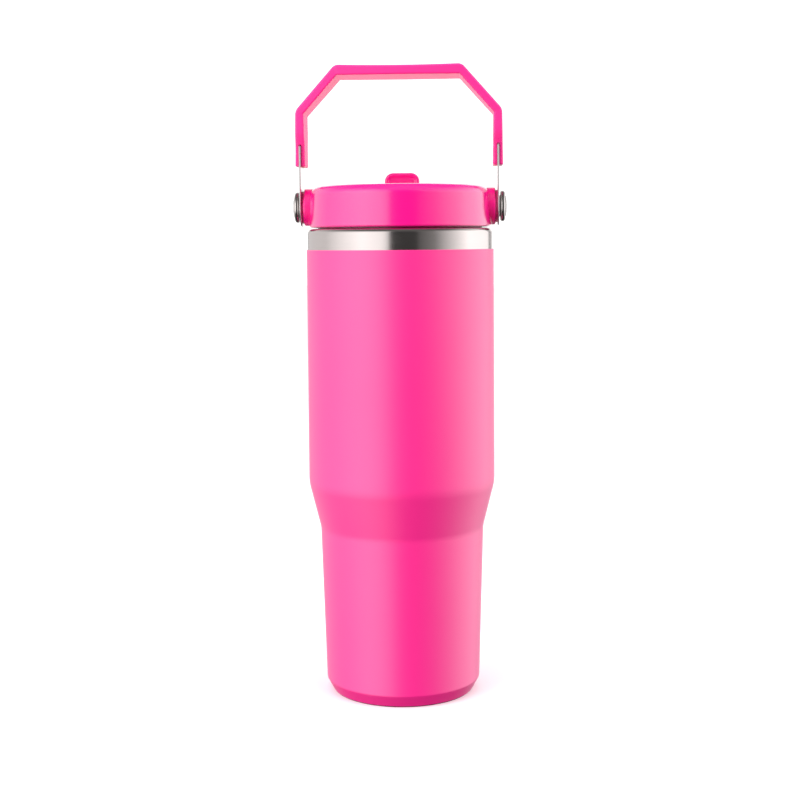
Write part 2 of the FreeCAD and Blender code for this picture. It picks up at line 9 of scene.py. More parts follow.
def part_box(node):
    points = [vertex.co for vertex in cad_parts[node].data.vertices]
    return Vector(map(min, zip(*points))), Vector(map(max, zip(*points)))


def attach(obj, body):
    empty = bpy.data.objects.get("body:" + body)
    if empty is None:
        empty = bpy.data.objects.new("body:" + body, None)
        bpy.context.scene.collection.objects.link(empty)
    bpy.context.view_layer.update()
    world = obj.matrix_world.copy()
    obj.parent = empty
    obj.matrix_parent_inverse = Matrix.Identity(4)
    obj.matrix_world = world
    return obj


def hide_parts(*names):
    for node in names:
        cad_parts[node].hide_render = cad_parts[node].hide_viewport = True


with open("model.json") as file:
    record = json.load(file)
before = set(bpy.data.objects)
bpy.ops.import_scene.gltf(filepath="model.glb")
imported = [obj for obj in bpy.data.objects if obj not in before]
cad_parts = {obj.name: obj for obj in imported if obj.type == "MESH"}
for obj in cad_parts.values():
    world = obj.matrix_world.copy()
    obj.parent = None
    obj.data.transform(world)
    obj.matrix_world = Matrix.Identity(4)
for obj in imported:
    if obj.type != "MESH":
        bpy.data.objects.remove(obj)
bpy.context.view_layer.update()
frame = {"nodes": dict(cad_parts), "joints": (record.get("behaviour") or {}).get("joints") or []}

# Lengths are in millimetres here and become metres when a mesh is made. The part stands on Z = 0 with
# its axis on X = Y = 0, its handle pivots along X, its folded spout towards +Y and its user at -Y.
MM = 0.001


def cad(node):
    """Lowest and highest corner of a CAD node, in millimetres."""
    low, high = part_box(node)
    return low / MM, high / MM


def joint_height(name):
    """Height of a joint's axis, in millimetres."""
    found = [joint for joint in frame["joints"] if joint["name"] == name]
    return found[0]["pos_m"][2] / MM


# ---------------------------------------------------------------- sizes taken from the frame
coat_low, coat_high = cad("powder_coat")
liner_low, liner_high = cad("inner_liner")
lid_low, lid_high = cad("lid_shell")
plug_low, plug_high = cad("lid_plug")
gasket_low, gasket_high = cad("lid_gasket")
straw_low, straw_high = cad("straw")
spout_low, spout_high = cad("spout")
grip_low, grip_high = cad("handle_grip")
strap_low, strap_high = cad("strap_right")
rivet_low, rivet_high = cad("pivot_rivet_right")
washer_low, washer_high = cad("pivot_washer_right")
retainer_low, retainer_high = cad("pivot_retainer_right")

coat_radius = coat_high.x
band_bottom = coat_high.z
rim_height = cad("outer_shell")[1].z
lid_bottom = lid_low.z
lid_top = lid_high.z
lid_radius = lid_high.y
pivot_z = joint_height("handle_swing")
spout_z = joint_height("spout_flip")
SIDES = {"left": -1, "right": 1}

# ---------------------------------------------------------------- flask sizes
foot_radius = 34.0
knee_radius = 37.2
knee_height = 5.9
knee_round = 2.4
lower_radius = 39.5
lower_height = 79.6
lower_round = 14.0
shoulder_top = 101.5
shoulder_round = 21.0
coat_thickness = 0.3
coat_edge_round = 0.14
shell_wall = 0.5
rim_round = 2.5
liner_wall = 0.4
liner_inset = 3.4
liner_floor = liner_low.z
liner_floor_round = 12.0
foot_ring_width = 3.2
foot_hole = foot_radius - coat_thickness - foot_ring_width


# ---------------------------------------------------------------- node papers
class Wire:
    """A node's output socket; arithmetic on it adds Math nodes."""

    def __init__(self, paper, socket):
        self.paper = paper
        self.socket = socket

    def maths(self, operation, *values):
        return self.paper.node("ShaderNodeMath", {"operation": operation}, dict(enumerate(values)))

    def __add__(self, other):
        return self.maths("ADD", self, other)

    def __sub__(self, other):
        return self.maths("SUBTRACT", self, other)

    def __rsub__(self, other):
        return self.maths("SUBTRACT", other, self)

    def __mul__(self, other):
        return self.maths("MULTIPLY", self, other)

    def __truediv__(self, other):
        return self.maths("DIVIDE", self, other)

    __radd__ = __add__
    __rmul__ = __mul__

    def sine(self):
        return self.maths("SINE", self)

    def cosine(self):
        return self.maths("COSINE", self)

    def least(self, other):
        return self.maths("MINIMUM", self, other)

    def most(self, other):
        return self.maths("MAXIMUM", self, other)


class Paper:
    """A node tree. A node is added by its type, its settings and the values or links of its sockets."""

    def __init__(self, tree):
        self.tree = tree

    def node(self, kind, settings=None, inputs=None, out=0):
        made = self.tree.nodes.new(kind)
        for name, value in (settings or {}).items():
            if name == "stops":
                self.set_stops(made.color_ramp, value)
            else:
                setattr(made, name, value)
        for name, value in (inputs or {}).items():
            self.feed(made.inputs[name], value)
        return Wire(self, made.outputs[out]) if len(made.outputs) else made

    def feed(self, socket, value):
        if isinstance(value, Wire):
            self.tree.links.new(value.socket, socket)
        else:
            socket.default_value = value

    def set_stops(self, ramp, stops):
        while len(ramp.elements) < len(stops):
            ramp.elements.new(1.0)
        for element, (place, colour) in zip(ramp.elements, stops):
            element.position = place
            element.color = colour

    def parts(self, vector):
        split = self.tree.nodes.new("ShaderNodeSeparateXYZ")
        self.feed(split.inputs[0], vector)
        return [Wire(self, socket) for socket in split.outputs]

    def vector(self, x=0.0, y=0.0, z=0.0):
        return self.node("ShaderNodeCombineXYZ", {}, {0: x, 1: y, 2: z})

    def blend(self, factor, first, second):
        """Mix of two colours."""
        mixed = self.tree.nodes.new("ShaderNodeMix")
        mixed.data_type = "RGBA"
        sockets = {socket.name: socket for socket in mixed.inputs if socket.enabled}
        for name, value in (("Factor", factor), ("A", first), ("B", second)):
            self.feed(sockets[name], value)
        return Wire(self, [socket for socket in mixed.outputs if socket.enabled][0])


class Finish(Paper):
    """A material: Object coordinates, surface grain and one Principled shader."""

    def __init__(self, name, **fixed):
        self.material = bpy.data.materials.new(name)
        self.material.use_nodes = True
        super().__init__(self.material.node_tree)
        self.tree.nodes.clear()
        self.shader = self.tree.nodes.new("ShaderNodeBsdfPrincipled")
        output = self.tree.nodes.new("ShaderNodeOutputMaterial")
        self.tree.links.new(self.shader.outputs[0], output.inputs[0])
        for socket, value in fixed.items():
            self.shader.inputs[socket.replace("_", " ")].default_value = value
        self.place = self.node("ShaderNodeTexCoord", out="Object")

    def set(self, socket, value):
        self.feed(self.shader.inputs[socket], value)

    def noise(self, vector, scale, detail=2.0, roughness=0.5):
        inputs = {"Vector": vector, "Scale": scale, "Detail": detail, "Roughness": roughness}
        return self.node("ShaderNodeTexNoise", {}, inputs)

    def bump(self, height, strength, depth):
        """Raised detail, at most depth metres high."""
        inputs = {"Strength": strength, "Distance": depth, "Height": height}
        self.set("Normal", self.node("ShaderNodeBump", {}, inputs))

    def around(self):
        """Angle about Z, distance from the axis and height, for turned patterns."""
        x, y, z = self.parts(self.place)
        return x.maths("ARCTAN2", y, x), x.maths("SQRT", x * x + y * y), z


def rgba(red, green, blue):
    return (red, green, blue, 1.0)


def grey(level):
    return (level, level, level, 1.0)


# ---------------------------------------------------------------- finishes
def pink_coat():
    """Powder coat: satin paint with a fine, slightly uneven grain under a clear skin."""
    paint = Finish("powder_coat_pink", Coat_Roughness=0.42, Coat_IOR=1.8, Specular_IOR_Level=1.0)
    cloud = paint.noise(paint.place, 18.0, 3.0)
    fleck = paint.noise(paint.place, 2600.0, 1.0)
    deep, light = rgba(0.93, 0.003, 0.235), rgba(0.97, 0.009, 0.268)
    paint.set("Base Color", paint.blend(cloud * 0.6 + fleck * 0.4, deep, light))
    paint.set("Roughness", 0.38 + fleck * 0.12)
    paint.set("Coat Weight", 0.85 + cloud * 0.15)
    orange_peel = paint.noise(paint.place, 520.0, 2.0)
    paint.bump(orange_peel * 0.5 + fleck * 0.5, 0.35, 0.00006)
    return paint.material


def pink_plastic(name, deep, light, roughness, grain, skin_weight=1.0):
    """Moulded pink plastic: satin skin with faint flow marks and a fine spark-eroded texture."""
    plastic = Finish(name, Specular_IOR_Level=0.4 + skin_weight * 0.5, Coat_Weight=skin_weight,
                     Coat_Roughness=roughness - 0.02, Coat_IOR=1.7)
    flow = plastic.noise(plastic.place, 24.0, 4.0)
    skin = plastic.noise(plastic.place, 1900.0, 2.0)
    plastic.set("Base Color", plastic.blend(flow, rgba(*deep), rgba(*light)))
    plastic.set("Roughness", roughness + skin * 0.10)
    plastic.bump(skin, grain, 0.00004)
    return plastic.material


def brushed_steel(name, direction, tone, roughness, grain, metal=1.0):
    """Brushed steel: lines that turn round Z, run along Z or, on a face, ring the handle's pivot."""
    steel = Finish(name, Metallic=metal)
    x, y, z = steel.parts(steel.place)
    if direction == "turn":
        angle, radius, height = steel.around()
        lines = steel.vector(angle * 0.004, height, radius)
    elif direction == "along":
        lines = steel.vector(x, y, z * 0.02)
    else:
        rise = z - pivot_z * MM
        lines = steel.vector(x.maths("SQRT", y * y + rise * rise), x)
    coarse = steel.noise(lines, 900.0, 3.0, 0.6)
    fine = steel.noise(lines, 6000.0, 2.0, 0.5)
    smear = steel.noise(steel.place, 30.0, 2.0)
    dark = rgba(*(0.90 * channel for channel in tone))
    steel.set("Base Color", steel.blend(coarse * 0.7 + smear * 0.3, dark, rgba(*tone)))
    steel.set("Roughness", roughness + coarse * 0.08 + smear * 0.05)
    steel.bump(coarse * 0.6 + fine * 0.4, grain, 0.00002)
    return steel.material


def silicone():
    """Soft translucent food-grade rubber with a fine matt skin."""
    rubber = Finish("silicone", Subsurface_Weight=0.25, Subsurface_Scale=0.004, Specular_IOR_Level=0.4)
    skin = rubber.noise(rubber.place, 1500.0, 2.0)
    haze = rubber.noise(rubber.place, 60.0, 2.0)
    rubber.set("Base Color", rubber.blend(haze, rgba(0.72, 0.71, 0.68), rgba(0.80, 0.79, 0.76)))
    rubber.set("Roughness", 0.45 + skin * 0.15)
    rubber.bump(skin, 0.2, 0.00003)
    return rubber.material


def straw_plastic():
    """Frosted clear tube with faint draw lines along it."""
    tube = Finish("straw_plastic", Transmission_Weight=0.2, IOR=1.49)
    x, y, z = tube.parts(tube.place)
    draw = tube.noise(tube.vector(x, y, z * 0.02), 1500.0, 2.0)
    frost = tube.noise(tube.place, 250.0, 2.0)
    tube.set("Base Color", tube.blend(frost, rgba(0.84, 0.86, 0.87), rgba(0.92, 0.93, 0.93)))
    tube.set("Roughness", 0.22 + frost * 0.12)
    tube.bump(draw, 0.03, 0.00001)
    return tube.material


def solder():
    """Grey-green glass frit with tiny bubbles."""
    glass = Finish("glass_solder", Specular_IOR_Level=0.6)
    frit = glass.noise(glass.place, 900.0, 3.0)
    glass.set("Base Color", glass.blend(frit, rgba(0.09, 0.11, 0.09), rgba(0.20, 0.23, 0.19)))
    glass.set("Roughness", 0.15 + frit * 0.2)
    glass.bump(frit, 0.3, 0.00008)
    return glass.material


def getter_alloy():
    """Sintered metal pill."""
    pill = Finish("getter_alloy", Metallic=0.8)
    grains = pill.noise(pill.place, 2200.0, 3.0, 0.7)
    pill.set("Base Color", pill.blend(grains, rgba(0.16, 0.15, 0.14), rgba(0.36, 0.34, 0.32)))
    pill.set("Roughness", 0.6 + grains * 0.25)
    pill.bump(grains, 0.5, 0.0001)
    return pill.material


# ---------------------------------------------------------------- outlines
def rounded(corners, steps=6, closed=True):
    """Points along (a, b, radius) corners, each corner rounded by steps chords of a tangent arc."""
    points = []
    count = len(corners)
    for i, (a, b, radius) in enumerate(corners):
        here = Vector((a, b))
        at_end = not closed and i in (0, count - 1)
        if radius <= 0 or at_end:
            points.append(here)
            continue
        before = (Vector(corners[i - 1][:2]) - here).normalized()
        after = (Vector(corners[(i + 1) % count][:2]) - here).normalized()
        half = before.angle(after) / 2
        if half > math.radians(89.9):
            points.append(here)
            continue
        centre = here + (before + after).normalized() * radius / math.sin(half)
        start = here + before * radius / math.tan(half) - centre
        turn = start.angle_signed(here + after * radius / math.tan(half) - centre)
        for step in range(steps + 1):
            points.append(centre + Matrix.Rotation(-turn * step / steps, 2) @ start)
    return points


def inset(points, amounts):
    """Closed polygon with edge i, from point i to i + 1, moved left of its direction by amounts[i]."""
    lines = []
    for i, amount in enumerate(amounts):
        start = Vector(points[i])
        along = (Vector(points[(i + 1) % len(points)]) - start).normalized()
        left = Vector((-along.y, along.x))
        lines.append((left, left.dot(start) + amount))
    moved = []
    for i in range(len(points)):
        (n1, c1), (n2, c2) = lines[i - 1], lines[i]
        det = n1.x * n2.y - n2.x * n1.y
        moved.append(((c1 * n2.y - c2 * n1.y) / det, (n1.x * c2 - n2.x * c1) / det))
    return moved


def oblong(left, right, low, high, *rounds):
    """Corners of a rectangle, anticlockwise from the low left one, each with its rounding."""
    places = ((left, low), (right, low), (right, high), (left, high))
    return [(*place, soft) for place, soft in zip(places, rounds)]


def flask_line(depth, floor, top):
    """The flask's outline moved in by depth: its foot, knee, lower, shoulder and rim corners."""
    outline = [(0, 0), (foot_radius, 0), (knee_radius, knee_height), (lower_radius, lower_height),
               (coat_radius, shoulder_top), (coat_radius, rim_height), (0, rim_height)]
    return inset(outline, [floor, depth, depth, depth, depth, rim_height - top, 0])[1:6]


# ---------------------------------------------------------------- meshes
def add_object(name, data):
    """Object in the scene for a mesh, a lamp or a camera."""
    added = bpy.data.objects.new(name, data)
    bpy.context.scene.collection.objects.link(added)
    return added


def raw_piece(name, points, faces, edges=()):
    """Object from points in millimetres."""
    mesh = bpy.data.meshes.new(name)
    mesh.from_pydata([Vector(point) * MM for point in points], edges, faces)
    return add_object(name, mesh)


def bake_modifiers(piece):
    """Turns a piece with modifiers into its plain result."""
    piece.data.update()
    graph = bpy.context.evaluated_depsgraph_get()
    result = bpy.data.meshes.new_from_object(piece.evaluated_get(graph))
    piece.modifiers.clear()
    piece.data = result
    return piece


def turn_outward(piece, merge=0.0005):
    """Merges doubles and points every face outwards."""
    work = bmesh.new()
    work.from_mesh(piece.data)
    bmesh.ops.remove_doubles(work, verts=work.verts, dist=merge * MM)
    bmesh.ops.recalc_face_normals(work, faces=work.faces)
    work.to_mesh(piece.data)
    work.free()
    return piece


def combine(piece, tool, operation):
    """Boolean of two pieces; the tool is used up."""
    modifier = piece.modifiers.new(operation.lower(), "BOOLEAN")
    modifier.operation = operation
    modifier.object = tool
    modifier.solver = "EXACT"
    bake_modifiers(piece)
    bpy.data.objects.remove(tool)
    return piece


def finish(piece, finish_material, body, replaces=(), sharp=32.0):
    piece.data.materials.clear()
    piece.data.materials.append(finish_material)
    piece.data.shade_smooth()
    piece.data.set_sharp_from_angle(angle=math.radians(sharp))
    weighted = piece.modifiers.new("weighted_normals", "WEIGHTED_NORMAL")
    weighted.keep_sharp = True
    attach(piece, body)
    if replaces:
        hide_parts(*replaces)
    return piece


# ---------------------------------------------------------------- node trees that make shapes
class Maker(Paper):
    """A Geometry Nodes tree with named inputs, used on a piece and then turned into a plain mesh."""

    def __init__(self, name, takes_geometry=False, **inputs):
        super().__init__(bpy.data.node_groups.new(name, "GeometryNodeTree"))
        face = self.tree.interface
        if takes_geometry:
            face.new_socket("Geometry", in_out="INPUT", socket_type="NodeSocketGeometry")
        kinds = {int: "NodeSocketInt", float: "NodeSocketFloat", str: "NodeSocketMaterial"}
        for label, value in inputs.items():
            face.new_socket(label.replace("_", " "), in_out="INPUT", socket_type=kinds[type(value)])
        face.new_socket("Geometry", in_out="OUTPUT", socket_type="NodeSocketGeometry")
        self.given = self.tree.nodes.new("NodeGroupInput")
        self.result = self.tree.nodes.new("NodeGroupOutput")

    def input(self, label):
        return Wire(self, self.given.outputs[label])

    def close(self, geometry):
        """Ends the tree with real geometry, smooth shading and the material."""
        real = self.node("GeometryNodeRealizeInstances", {}, {0: geometry})
        near = {"Geometry": real, "Distance": 0.0002 * MM}
        merged = self.node("GeometryNodeMergeByDistance", {}, near)
        smooth = self.node("GeometryNodeSetShadeSmooth", {}, {"Geometry": merged})
        coated = {"Geometry": smooth, "Material": self.input("Material")}
        self.feed(self.result.inputs[0], self.node("GeometryNodeSetMaterial", {}, coated))

    def use(self, piece, **values):
        """Runs the tree on a piece with these inputs and keeps the plain mesh."""
        modifier = piece.modifiers.new(self.tree.name, "NODES")
        modifier.node_group = self.tree
        for item in self.tree.interface.items_tree:
            key = item.name.replace(" ", "_")
            if item.in_out == "INPUT" and key in values:
                modifier[item.identifier] = values[key]
        return turn_outward(bake_modifiers(piece))


def lathe_tree():
    """Turns the piece's own outline, drawn as (radius - path, -height), once round Z."""
    tree = Maker("lathe", True, Path_Radius=0.0, Segments=0, Material="")
    outline = tree.node("GeometryNodeMeshToCurve", {}, {0: tree.input("Geometry")})
    size = {"Resolution": tree.input("Segments"), "Radius": tree.input("Path Radius")}
    ring = tree.node("GeometryNodeCurvePrimitiveCircle", {}, size)
    tree.close(tree.node("GeometryNodeCurveToMesh", {}, {"Curve": ring, "Profile Curve": outline}))
    return tree


def thread_tree():
    """Trapezoid ridges that climb round Z from several starts, run out to nothing at their ends."""
    tree = Maker("thread", Root_Radius=0.0, Crest_Depth=0.0, Root_Width=0.0, Crest_Width=0.0, Lead=0.0,
                 Turn=0.0, Start_Height=0.0, Run_Out=0.0, Starts=0, Steps=0, Material="")
    steps = tree.input("Steps")
    line = tree.node("GeometryNodeMeshLine", {}, {"Count": steps})
    index = tree.node("GeometryNodeInputIndex")
    share = index / (steps - 1.0)
    angle = share * tree.input("Turn")
    radius = tree.input("Root Radius")
    height = tree.input("Start Height") + angle * tree.input("Lead") / math.tau
    place = tree.vector(angle.cosine() * radius, angle.sine() * radius, height)
    moved = tree.node("GeometryNodeSetPosition", {}, {"Geometry": line, "Position": place})
    path = tree.node("GeometryNodeMeshToCurve", {}, {0: moved})
    upright = tree.node("GeometryNodeSetCurveNormal", {"mode": "Z_UP"}, {"Curve": path})
    half_root = tree.input("Root Width") / 2
    half_crest = tree.input("Crest Width") / 2
    crest = tree.input("Crest Depth")
    corners = [(0.0, half_root), (crest, half_crest), (crest, half_crest * -1), (0.0, half_root * -1)]
    quad = {f"Point {i + 1}": tree.vector(x, y) for i, (x, y) in enumerate(corners)}
    section = tree.node("GeometryNodeCurvePrimitiveQuadrilateral", {"mode": "POINTS"}, quad)
    grown = (share.least(1 - share) / tree.input("Run Out")).least(1.0)
    smallest = 0.02
    scale = grown * (1 - smallest) + smallest
    sweep = {"Curve": upright, "Profile Curve": section, "Scale": scale, "Fill Caps": True}
    ridge = tree.node("GeometryNodeCurveToMesh", {}, sweep)
    starts = tree.input("Starts")
    origins = tree.node("GeometryNodeMeshLine", {}, {"Count": starts, "Offset": (0.0, 0.0, 0.0)})
    spin = tree.vector(z=tree.node("GeometryNodeInputIndex") * math.tau / starts)
    spread = {"Points": origins, "Instance": ridge, "Rotation": spin}
    tree.close(tree.node("GeometryNodeInstanceOnPoints", {}, spread))
    return tree


def pin_tree():
    """Round pins along X, one on each side of the YZ plane in every row along Y, all at one height."""
    tree = Maker("pins", Radius=0.0, Length=0.0, Spread_X=0.0, Spread_Y=0.0, Rows=0, Height=0.0,
                 Chamfer=0.0, Material="")
    size = {"Size X": tree.input("Spread X"), "Size Y": tree.input("Spread Y"),
            "Vertices X": 2, "Vertices Y": tree.input("Rows")}
    grid = tree.node("GeometryNodeMeshGrid", {}, size)
    lift = tree.vector(z=tree.input("Height"))
    places = tree.node("GeometryNodeSetPosition", {}, {"Geometry": grid, "Offset": lift})
    radius = tree.input("Radius")
    half = tree.input("Length") / 2
    chamfer = tree.input("Chamfer")
    outline = [(half * -1, 0.0), (half * -1, radius - chamfer), (chamfer - half, radius),
               (half - chamfer, radius), (half, radius - chamfer), (half, 0.0)]
    line = tree.node("GeometryNodeMeshLine", {}, {"Count": len(outline)})
    index = tree.node("GeometryNodeInputIndex")
    spot = tree.vector()
    for i, (along, out) in enumerate(outline):
        here = index.maths("COMPARE", index, float(i), 0.1)
        point = tree.vector(here * out, here * along)
        spot = tree.node("ShaderNodeVectorMath", {"operation": "ADD"}, {0: spot, 1: point})
    profile = tree.node("GeometryNodeSetPosition", {}, {"Geometry": line, "Position": spot})
    section = tree.node("GeometryNodeMeshToCurve", {}, {0: profile})
    ring = tree.node("GeometryNodeCurvePrimitiveCircle", {}, {"Resolution": 32, "Radius": 0.001 * MM})
    pin = tree.node("GeometryNodeCurveToMesh", {}, {"Curve": ring, "Profile Curve": section})
    spread = {"Points": places, "Instance": pin, "Rotation": tree.vector(y=math.pi / 2)}
    tree.close(tree.node("GeometryNodeInstanceOnPoints", {}, spread))
    return tree


def lathe(name, corners, material, steps=5, closed=True, segments=192, axis="Z"):
    """Turned piece from (radius, height, rounding) corners. Axis X is the handle's pivot."""
    path = 20.0
    points = [(radius - path, -height, 0) for radius, height in rounded(corners, steps, closed)]
    edges = [(i, i + 1) for i in range(len(points) - 1)]
    if closed:
        edges.append((len(points) - 1, 0))
    piece = raw_piece(name, points, [], edges)
    LATHE.use(piece, Path_Radius=path * MM, Segments=segments, Material=material)
    if axis == "X":
        lay_down = Matrix.Translation((0, 0, pivot_z * MM)) @ Matrix.Rotation(math.pi / 2, 4, "Y")
        piece.data.transform(lay_down)
    return piece


def rod(name, radius, start, end, material, segments, axis="Z"):
    """Plain round bar from start to end, used to cut with or to cut from."""
    return lathe(name, oblong(0, radius, start, end, 0, 0, 0, 0), material, 1, False, segments, axis)


def on_side(piece, sign):
    """Leaves a piece at +X for sign 1 and mirrors it to -X for sign -1."""
    if sign < 0:
        piece.data.transform(Matrix.Scale(-1, 4, Vector((1, 0, 0))))
        turn_outward(piece)
    return piece


def grow(tree, name, material, sizes, **others):
    """New piece made by a node tree from sizes in millimetres and its other inputs."""
    metres = {label: size * MM for label, size in sizes.items()}
    return tree.use(raw_piece(name, [], []), Material=material, **metres, **others)


def loft(name, rings):
    """Closed piece through rings of equal point counts, each end closed by one face."""
    count = len(rings[0])
    points = [point for ring in rings for point in ring]
    faces = []
    for level in range(len(rings) - 1):
        base = level * count
        for i in range(count):
            j = (i + 1) % count
            faces.append((base + i, base + j, base + count + j, base + count + i))
    faces.append(tuple(reversed(range(count))))
    faces.append(tuple(range(len(points) - count, len(points))))
    return turn_outward(raw_piece(name, points, faces))


def box(name, low, high):
    """Plain block between two opposite corners."""
    across = ((low[0], low[1]), (high[0], low[1]), (high[0], high[1]), (low[0], high[1]))
    return loft(name, [[(x, y, z) for x, y in across] for z in (low[2], high[2])])


def round_rect(half_width, low, high, low_round, high_round, shrink=0.0, steps=6):
    """Rounded rectangle outline, points (across, up), with every side moved in by shrink."""
    smallest = 0.05
    half = half_width - shrink
    soft_low, soft_high = (max(soft - shrink, smallest) for soft in (low_round, high_round))
    rounds = (soft_low, soft_low, soft_high, soft_high)
    return rounded(oblong(-half, half, low + shrink, high - shrink, *rounds), steps)


def quarter(steps):
    """Sine and cosine at even steps from 0 to 90 degrees."""
    turns = [math.radians(90 * step / steps) for step in range(steps + 1)]
    return [(math.sin(turn), math.cos(turn)) for turn in turns]


def edge_stations(start, end, radius, steps):
    """(place, shrink) pairs from start to end with a quarter-round at each end."""
    side = 1 if end > start else -1
    opening = []
    for sine, cosine in quarter(steps):
        opening.append((start + side * radius * (1 - cosine), radius * (1 - sine)))
    closing = [(start + end - place, shrink) for place, shrink in reversed(opening)]
    return opening + closing


LATHE = lathe_tree()
THREAD = thread_tree()
PINS = pin_tree()

COAT = pink_coat()
# Pink plastics: deep and light pink, roughness, strength of the grain and weight of the clear skin.
LID_PINK = pink_plastic("lid_pink", (0.94, 0.001, 0.238), (0.98, 0.002, 0.258), 0.19, 0.12)
SPOUT_PINK = pink_plastic("spout_pink", (0.94, 0.001, 0.315), (0.98, 0.003, 0.345), 0.27, 0.12)
PLUG_PINK = pink_plastic("plug_pink", (0.84, 0.006, 0.225), (0.90, 0.012, 0.260), 0.36, 0.12)
GRIP_PINK = pink_plastic("grip_pink", (0.90, 0.022, 0.250), (0.96, 0.032, 0.285), 0.36, 0.20, 0.15)
WASHER_PINK = pink_plastic("washer_pink", (0.80, 0.006, 0.200), (0.88, 0.012, 0.240), 0.34, 0.12)
# Steels: how the brush ran, tone, roughness, strength of the brush lines and how metallic they look.
BAND_STEEL = brushed_steel("band_steel", "turn", (0.78, 0.705, 0.69), 0.09, 0.3)
LINER_STEEL = brushed_steel("liner_steel", "turn", (0.66, 0.65, 0.64), 0.24, 0.03, 0.6)
BASE_STEEL = brushed_steel("base_steel", "turn", (0.68, 0.67, 0.66), 0.20, 0.3)
STRAP_STEEL = brushed_steel("strap_steel", "along", (0.82, 0.78, 0.77), 0.16, 0.3)
RIVET_STEEL = brushed_steel("rivet_steel", "face", (0.82, 0.76, 0.74), 0.12, 0.12)
SILICONE = silicone()
STRAW_CLEAR = straw_plastic()


# ---------------------------------------------------------------- flask
def at_height(first, second, height):
    """Point on the line from first to second at that height."""
    share = (height - first[1]) / (second[1] - first[1])
    return (first[0] + (second[0] - first[0]) * share, height)


def side_wall(depth, floor, top, top_round):
    """Corners of the flask's side from foot to top, with the roundings that fit this depth."""
    foot, knee, lower, shoulder, rim = flask_line(depth, floor, top)
    return [(*foot, 0), (*knee, max(knee_round - depth, 0.3)), (*lower, lower_round + depth),
            (*shoulder, shoulder_round - depth), (*rim, top_round)]


def make_coat():
    """Powder coat from just above the foot to the bare band, with a softly rounded top edge."""
    outer = side_wall(0, coat_low.z, band_bottom, coat_edge_round)
    inner = side_wall(coat_thickness, coat_low.z, band_bottom, coat_edge_round)
    piece = lathe("flask_coat", outer + inner[::-1], COAT, 10, segments=256)
    finish(piece, COAT, "flask", ["powder_coat"])


def make_shell():
    """Steel outer wall with the bare band, the rolled rim and the foot ring."""
    under_rim = rim_height - shell_wall
    outer = side_wall(coat_thickness, 0, rim_height, rim_round)
    inner = side_wall(coat_thickness + shell_wall, shell_wall, under_rim, rim_round - shell_wall)
    lip = liner_high.x
    outline = outer + [(lip, rim_height, 0), (lip, under_rim, 0)] + inner[::-1]
    outline += [(foot_hole, shell_wall, 0), (foot_hole, 0, 0.15)]
    piece = lathe("flask_shell", outline, BAND_STEEL, 10, segments=256)
    finish(piece, BAND_STEEL, "flask", ["outer_shell"])


def liner_corners(depth, floor, floor_round):
    """One side of the liner's wall, from the axis to the rim."""
    _, knee, lower, shoulder, rim = flask_line(depth, floor, rim_height)
    wall = at_height(knee, lower, floor)
    return [(0, floor, 0), (*wall, floor_round), (*lower, lower_round + depth),
            (*shoulder, shoulder_round - depth), (*rim, 0)]


def make_liner():
    """Inner cup and, on its neck, the rolled thread."""
    outer = liner_corners(liner_inset, liner_floor, liner_floor_round)
    inside = [size + liner_wall for size in (liner_inset, liner_floor)]
    inner = liner_corners(*inside, liner_floor_round - liner_wall)
    piece = lathe("flask_liner", outer + inner[::-1], LINER_STEEL, 10, closed=False)
    finish(piece, LINER_STEEL, "flask", ["inner_liner"])
    root = liner_high.x - liner_wall / 2
    ridges = thread("neck_thread", LINER_STEEL, root, depth=-1.35, turn=150.0, above_plug=4.6)
    finish(ridges, LINER_STEEL, "flask")


def thread(name, material, root, depth, turn, above_plug):
    """Two-start thread on the neck or the plug; a negative depth points inwards."""
    sizes = {"Root_Radius": root, "Root_Width": 2.2, "Crest_Depth": depth, "Crest_Width": 1.0,
             "Lead": 8.0, "Start_Height": plug_low.z + above_plug}
    return grow(THREAD, name, material, sizes, Turn=math.radians(turn), Run_Out=0.09, Starts=2, Steps=97)


def make_base():
    """Pressed bottom plate with its dimple, and the thin cover under it."""
    wall, recess, dimple, port = 0.4, 2.0, 5.0, 1.0
    level = recess + wall
    top = cad("base_plate")[1].z
    outline = [(foot_hole - wall, 0, 0), (foot_hole, 0, 0.1), (foot_hole, level, 0.3),
               (dimple + wall, level, 0.3), (dimple + wall, top, 0.3), (port, top, 0),
               (port, top - wall, 0), (dimple, top - wall, 0.3), (dimple, recess, 0.2),
               (foot_hole - wall, recess, 0.4)]
    plate = lathe("base_plate_pressing", outline, BASE_STEEL)
    finish(plate, BASE_STEEL, "flask", ["base_plate"])
    low, high = cad("base_cover")
    disc = oblong(0, high.x, low.z, high.z, 0, 0.15, 0.05, 0)
    cover = lathe("base_cover_disc", disc, BASE_STEEL, closed=False)
    finish(cover, BASE_STEEL, "flask", ["base_cover"])


# ---------------------------------------------------------------- lid
lid_draft = 0.8
lid_top_radius = lid_radius - lid_draft
lid_wall = 2.5
plug_flange = 2.2
boss_inset = 0.8
boss_radius = (lid_top - lid_bottom) / 2 - boss_inset
boss_end = washer_low.x
pad_inner = retainer_high.x
pad_radius = 6.0
barrel_radius = spout_z - spout_low.z
barrel_gap = 0.4
well_side_gap = 0.5
well_half = (spout_high.x - spout_low.x) / 2 + well_side_gap
well_front = -barrel_radius - barrel_gap
well_back_wall = 7.2
well_back = lid_radius - well_back_wall
well_depth = 6.1
well_floor = spout_z - well_depth
well_flare = 0.8
well_wall = 2.5


